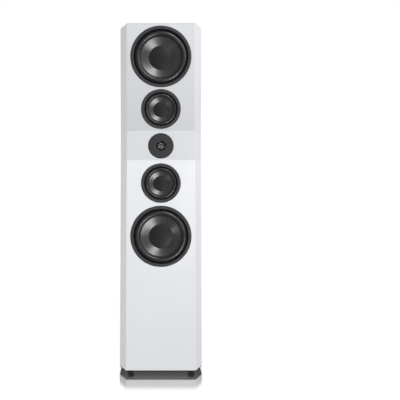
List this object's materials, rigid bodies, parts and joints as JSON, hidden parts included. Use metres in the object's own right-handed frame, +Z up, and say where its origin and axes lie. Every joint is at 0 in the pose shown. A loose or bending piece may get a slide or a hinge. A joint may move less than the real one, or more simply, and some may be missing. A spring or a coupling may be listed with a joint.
{
  "type": "floorstanding loudspeaker",
  "caption": "Tall floorstanding loudspeaker: concave faceted white cabinet with chamfered front edges, woofers and midranges mirrored about a dome tweeter, rear ports, round feet.",
  "frame": {"origin": "on the floor, at the centre of the footprint's bounding box", "axes": "+Z up; the baffle faces -Y, the terminals face +Y; +X is to the right seen from the front"},
  "size_m": [0.3, 0.4, 1.26],
  "materials": {
    "white_lacquer": "gloss",
    "black_paint": "satin",
    "fibreboard": "matte",
    "ring_satin_black": "satin",
    "cast_frame": "satin",
    "surround_rubber": "satin",
    "cone_fibre": "satin",
    "cap_fibre": "satin",
    "coil_winding": "satin",
    "spider_cloth": "matte",
    "plated_steel": "satin",
    "ferrite": "matte",
    "dome_metal": "satin",
    "port_plastic": "satin",
    "gold_plate": "polished",
    "cap_red": "gloss",
    "cap_black": "gloss",
    "circuit_board": "satin",
    "foot_rubber": "satin"
  },
  "bodies": {
    "cabinet": {"front_baffle": "white_lacquer", "side_panel_left": "white_lacquer", "side_panel_right": "white_lacquer", "top_panel": "white_lacquer", "rear_panel": "white_lacquer", "bottom_panel": "black_paint", "midrange_chamber": "fibreboard", "window_brace": "fibreboard", "tweeter_faceplate": "ring_satin_black", "tweeter_diffuser": "ring_satin_black", "tweeter_motor": "ferrite", "reflex_port_upper": "port_plastic", "reflex_port_lower": "port_plastic", "terminal_cup": "port_plastic", "binding_post_red": "gold_plate", "binding_post_black": "gold_plate", "crossover_board": "circuit_board", "woofer_upper_trim_ring": "ring_satin_black", "woofer_upper_basket": "cast_frame", "woofer_upper_surround": "surround_rubber", "woofer_upper_spider": "spider_cloth", "woofer_upper_top_plate": "plated_steel", "woofer_upper_magnet": "ferrite", "woofer_upper_yoke": "plated_steel", "midrange_upper_trim_ring": "ring_satin_black", "midrange_upper_basket": "cast_frame", "midrange_upper_surround": "surround_rubber", "midrange_upper_spider": "spider_cloth", "midrange_upper_motor": "ferrite", "midrange_lower_trim_ring": "ring_satin_black", "midrange_lower_basket": "cast_frame", "midrange_lower_surround": "surround_rubber", "midrange_lower_spider": "spider_cloth", "midrange_lower_motor": "ferrite", "woofer_lower_trim_ring": "ring_satin_black", "woofer_lower_basket": "cast_frame", "woofer_lower_surround": "surround_rubber", "woofer_lower_spider": "spider_cloth", "woofer_lower_top_plate": "plated_steel", "woofer_lower_magnet": "ferrite", "woofer_lower_yoke": "plated_steel"},
    "woofer_upper_cone": {"woofer_upper_cone": "cone_fibre", "woofer_upper_dust_cap": "cap_fibre", "woofer_upper_voice_coil": "coil_winding"},
    "midrange_upper_cone": {"midrange_upper_cone": "cone_fibre", "midrange_upper_dust_cap": "cap_fibre", "midrange_upper_voice_coil": "coil_winding"},
    "midrange_lower_cone": {"midrange_lower_cone": "cone_fibre", "midrange_lower_dust_cap": "cap_fibre", "midrange_lower_voice_coil": "coil_winding"},
    "woofer_lower_cone": {"woofer_lower_cone": "cone_fibre", "woofer_lower_dust_cap": "cap_fibre", "woofer_lower_voice_coil": "coil_winding"},
    "tweeter_dome": {"tweeter_dome": "dome_metal"},
    "post_cap_red": {"post_cap_red": "cap_red"},
    "post_cap_black": {"post_cap_black": "cap_black"},
    "foot_front_left": {"foot_front_left": "foot_rubber"},
    "foot_front_right": {"foot_front_right": "foot_rubber"},
    "foot_rear_left": {"foot_rear_left": "foot_rubber"},
    "foot_rear_right": {"foot_rear_right": "foot_rubber"}
  },
  "joints": [
    {"name": "woofer_upper_excursion", "type": "slide", "parent": "cabinet", "child": "woofer_upper_cone", "axis": [0, -0.999, -0.0453], "range_m": [-0.008, 0.008], "stiffness_N_per_m": 1500, "deforming": ["woofer_upper_surround", "woofer_upper_spider"]},
    {"name": "midrange_upper_excursion", "type": "slide", "parent": "cabinet", "child": "midrange_upper_cone", "axis": [0, -0.999, -0.0453], "range_m": [-0.003, 0.003], "stiffness_N_per_m": 1200, "deforming": ["midrange_upper_surround", "midrange_upper_spider"]},
    {"name": "midrange_lower_excursion", "type": "slide", "parent": "cabinet", "child": "midrange_lower_cone", "axis": [0, -0.9981, 0.0623], "range_m": [-0.003, 0.003], "stiffness_N_per_m": 1200, "deforming": ["midrange_lower_surround", "midrange_lower_spider"]},
    {"name": "woofer_lower_excursion", "type": "slide", "parent": "cabinet", "child": "woofer_lower_cone", "axis": [0, -0.9981, 0.0623], "range_m": [-0.008, 0.008], "stiffness_N_per_m": 1500, "deforming": ["woofer_lower_surround", "woofer_lower_spider"]},
    {"name": "tweeter_excursion", "type": "slide", "parent": "cabinet", "child": "tweeter_dome", "axis": [0, -1, 0], "range_m": [-0.0005, 0.0005], "stiffness_N_per_m": 800},
    {"name": "post_cap_red_turn", "type": "hinge", "parent": "cabinet", "child": "post_cap_red", "pos_m": [0.00953, 0.19, 0.19], "axis": [0, 1, 0], "range_deg": [0, 1080]},
    {"name": "post_cap_black_turn", "type": "hinge", "parent": "cabinet", "child": "post_cap_black", "pos_m": [-0.00953, 0.19, 0.19], "axis": [0, 1, 0], "range_deg": [0, 1080]},
    {"name": "foot_front_left_turn", "type": "hinge", "parent": "cabinet", "child": "foot_front_left", "pos_m": [-0.109, -0.17, 0.006], "axis": [0, 0, 1], "continuous": true},
    {"name": "foot_front_right_turn", "type": "hinge", "parent": "cabinet", "child": "foot_front_right", "pos_m": [0.109, -0.17, 0.006], "axis": [0, 0, 1], "continuous": true},
    {"name": "foot_rear_left_turn", "type": "hinge", "parent": "cabinet", "child": "foot_rear_left", "pos_m": [-0.109, 0.17, 0.006], "axis": [0, 0, 1], "continuous": true},
    {"name": "foot_rear_right_turn", "type": "hinge", "parent": "cabinet", "child": "foot_rear_right", "pos_m": [0.109, 0.17, 0.006], "axis": [0, 0, 1], "continuous": true}
  ]
}
